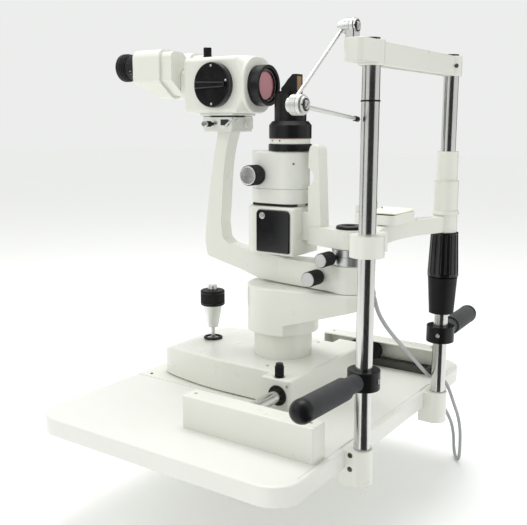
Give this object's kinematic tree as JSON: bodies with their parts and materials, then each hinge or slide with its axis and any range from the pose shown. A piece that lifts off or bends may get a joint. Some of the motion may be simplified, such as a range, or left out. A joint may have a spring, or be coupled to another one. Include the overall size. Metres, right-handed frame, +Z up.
{
  "type": "slit lamp",
  "caption": "Slit lamp on a white table board: binocular microscope and slit tower on a joystick base with rack wheels, facing a chrome headrest with chin rest and grips.",
  "frame": {"origin": "centre of the table board's underside", "axes": "+X towards the patient's side with the headrest, +Y towards the examiner's left, +Z up"},
  "size_m": [0.5006, 0.54, 0.6525],
  "materials": {
    "board_laminate": "satin white laminate",
    "white_plastic": "satin white moulding",
    "cream_paint": "satin off-white paint",
    "dark_steel": "dark oiled steel",
    "chrome": "polished chrome",
    "steel": "brushed steel",
    "black_anodised": "satin black anodised",
    "grey_rubber": "grey rubber",
    "lead_grey": "satin grey sheath",
    "black_matte": "matt black",
    "black_gloss": "glossy black",
    "bronze": "plain bronze",
    "aluminium": "satin aluminium",
    "coated_glass": "coated lens glass",
    "clear_glass": "clear glass",
    "pale_grey_paint": "satin light grey paint",
    "mirror_glass": "polished amber-tinted mirror"
  },
  "bodies": {
    "stand": {"table_board": "board_laminate", "glide_plate": "white_plastic", "rail_covers": "cream_paint", "gear_racks": "dark_steel", "headrest_posts": "chrome", "post_clamps": "cream_paint", "forehead_bar": "cream_paint", "stand_screws": "steel", "grip_collars": "black_anodised", "hand_grips": "grey_rubber", "fixation_bracket": "cream_paint", "supply_lead": "lead_grey"},
    "fixation_arm": {"fixation_upper_rod": "chrome"},
    "fixation_lamp": {"fixation_lower_rod": "chrome"},
    "chin_rest": {"chin_bar": "cream_paint", "chin_cup": "white_plastic", "height_sleeve": "black_matte"},
    "chin_nut": {"height_nut": "black_gloss"},
    "cross_slide": {"gear_guards": "black_matte"},
    "drive_axle": {"axle": "steel", "gear_wheels": "dark_steel"},
    "base": {"base_cover": "cream_paint", "base_plate": "black_anodised", "base_bushes": "bronze", "column_post": "cream_paint"},
    "base_lock": {"base_lock_knob": "black_matte"},
    "joystick_yoke": {"joystick_gimbal": "steel"},
    "joystick": {"joystick_lever": "aluminium"},
    "joystick_grip": {"joystick_ring": "black_matte"},
    "column": {"column_head": "cream_paint", "column_spindle": "steel", "pivot_shaft": "black_anodised"},
    "scope_arm": {"microscope_arm": "cream_paint", "angle_scale_ring": "aluminium", "dovetail_clamp": "aluminium", "microscope_body": "cream_paint", "objective_ring": "black_anodised", "objective_lens": "coated_glass"},
    "scope_lock": {"scope_lock_knob": "black_matte"},
    "scope_clamp": {"clamp_knob": "black_matte"},
    "filter_turret": {"filter_knob": "black_matte"},
    "magnification": {"magnification_drum": "black_anodised"},
    "prism_near": {"prism_box_near": "cream_paint"},
    "prism_far": {"prism_box_far": "cream_paint"},
    "ocular_near": {"eyepiece_near": "black_matte"},
    "ocular_far": {"eyepiece_far": "black_matte"},
    "lamp_arm": {"illumination_arm": "cream_paint", "lamp_housing": "cream_paint", "lamp_door": "black_gloss", "lamp_bulb": "clear_glass", "tower_housing": "pale_grey_paint", "condenser_lenses": "clear_glass", "slit_jaws": "dark_steel", "index_ring": "white_plastic", "head_cap": "black_anodised", "prism_holder": "black_anodised", "mirror": "mirror_glass"},
    "lamp_lock": {"lamp_lock_knob": "black_matte"},
    "slit_drive": {"slit_knobs": "black_matte"},
    "aperture": {"aperture_ring": "black_anodised"}
  },
  "joints": [
    {"name": "cross_slide_travel", "type": "slide", "parent": "stand", "child": "cross_slide", "axis": [1, 0, 0], "range_m": [-0.045, 0.03]},
    {"name": "axle_spin", "type": "hinge", "parent": "cross_slide", "child": "drive_axle", "pos_m": [0.072, 0, 0.051], "axis": [0, 1, 0], "range_deg": [-200, 135]},
    {"name": "base_travel", "type": "slide", "parent": "cross_slide", "child": "base", "axis": [0, 1, 0], "range_m": [-0.065, 0.025]},
    {"name": "base_lock_turn", "type": "hinge", "parent": "base", "child": "base_lock", "pos_m": [0.069, -0.079, 0.08], "axis": [0, 0, 1], "range_deg": [-270, 90]},
    {"name": "joystick_side", "type": "hinge", "parent": "base", "child": "joystick_yoke", "pos_m": [-0.121, 0.02, 0.058], "axis": [1, 0, 0], "range_deg": [-12, 12]},
    {"name": "joystick_fore_aft", "type": "hinge", "parent": "joystick_yoke", "child": "joystick", "pos_m": [-0.121, 0.02, 0.058], "axis": [0, 1, 0], "range_deg": [-12, 12]},
    {"name": "joystick_twist", "type": "hinge", "parent": "joystick", "child": "joystick_grip", "pos_m": [-0.121, 0.02, 0.137], "axis": [0, 0, 1], "range_deg": [-721, 361]},
    {"name": "column_lift", "type": "slide", "parent": "base", "child": "column", "axis": [0, 0, 1], "range_m": [-0.02, 0.01]},
    {"name": "scope_swing", "type": "hinge", "parent": "column", "child": "scope_arm", "pos_m": [0.119, 0.02, 0.198], "axis": [0, 0, 1], "range_deg": [-50, 50]},
    {"name": "scope_lock_turn", "type": "hinge", "parent": "scope_arm", "child": "scope_lock", "pos_m": [0.0855, -0.02, 0.2005], "axis": [0, 1, 0], "range_deg": [-270, 90]},
    {"name": "clamp_turn", "type": "hinge", "parent": "scope_arm", "child": "scope_clamp", "pos_m": [-0.095, -0.02, 0.406], "axis": [0, 1, 0], "range_deg": [-270, 90]},
    {"name": "filter_turn", "type": "hinge", "parent": "scope_arm", "child": "filter_turret", "pos_m": [-0.125, 0.02, 0.505], "axis": [0, 0, 1], "range_deg": [-90, 90]},
    {"name": "magnification_turn", "type": "hinge", "parent": "scope_arm", "child": "magnification", "pos_m": [-0.084, 0.02, 0.4605], "axis": [0, 1, 0], "continuous": true},
    {"name": "pd_near", "type": "hinge", "parent": "scope_arm", "child": "prism_near", "pos_m": [-0.152, 0.0013, 0.462], "axis": [1, 0, 0], "range_deg": [-11, 11]},
    {"name": "pd_far", "type": "hinge", "parent": "scope_arm", "child": "prism_far", "pos_m": [-0.152, 0.0387, 0.462], "axis": [1, 0, 0], "range_deg": [-11, 11]},
    {"name": "dioptre_near", "type": "hinge", "parent": "prism_near", "child": "ocular_near", "pos_m": [-0.24, -0.012, 0.491], "axis": [1, 0, 0], "range_deg": [-60, 60]},
    {"name": "dioptre_far", "type": "hinge", "parent": "prism_far", "child": "ocular_far", "pos_m": [-0.24, 0.052, 0.491], "axis": [1, 0, 0], "range_deg": [-60, 60]},
    {"name": "lamp_swing", "type": "hinge", "parent": "column", "child": "lamp_arm", "pos_m": [0.119, 0.02, 0.25], "axis": [0, 0, 1], "range_deg": [-60, 60]},
    {"name": "lamp_lock_turn", "type": "hinge", "parent": "lamp_arm", "child": "lamp_lock", "pos_m": [0.104, -0.02, 0.228], "axis": [0, 1, 0], "range_deg": [-270, 90]},
    {"name": "slit_turn", "type": "hinge", "parent": "lamp_arm", "child": "slit_drive", "pos_m": [-0.015, 0.02, 0.3355], "axis": [0, 1, 0], "range_deg": [-120, 120]},
    {"name": "aperture_turn", "type": "hinge", "parent": "lamp_arm", "child": "aperture", "pos_m": [0.021, 0.02, 0.374], "axis": [0, 0, 1], "range_deg": [-120, 120]},
    {"name": "chin_lift", "type": "slide", "parent": "stand", "child": "chin_rest", "axis": [0, 0, 1], "range_m": [-0.012, 0.03]},
    {"name": "chin_nut_turn", "type": "hinge", "parent": "chin_rest", "child": "chin_nut", "pos_m": [0.214, 0.12, 0.22], "axis": [0, 0, 1], "range_deg": [-433, 1081]},
    {"name": "fixation_shoulder", "type": "hinge", "parent": "stand", "child": "fixation_arm", "pos_m": [0.2, -0.155, 0.507], "axis": [1, 0, 0], "range_deg": [-60, 0]},
    {"name": "fixation_elbow", "type": "hinge", "parent": "fixation_arm", "child": "fixation_lamp", "pos_m": [0.2, -0.258, 0.424], "axis": [1, 0, 0], "range_deg": [-80, 18]}
  ],
  "couplings": [
    {"joint": "axle_spin", "follows": "cross_slide_travel", "rad_per_m": 74.074},
    {"joint": "joystick_twist", "follows": "column_lift", "rad_per_m": 628.32},
    {"joint": "pd_far", "follows": "pd_near", "ratio": -1},
    {"joint": "chin_nut_turn", "follows": "chin_lift", "rad_per_m": 628.32}
  ]
}
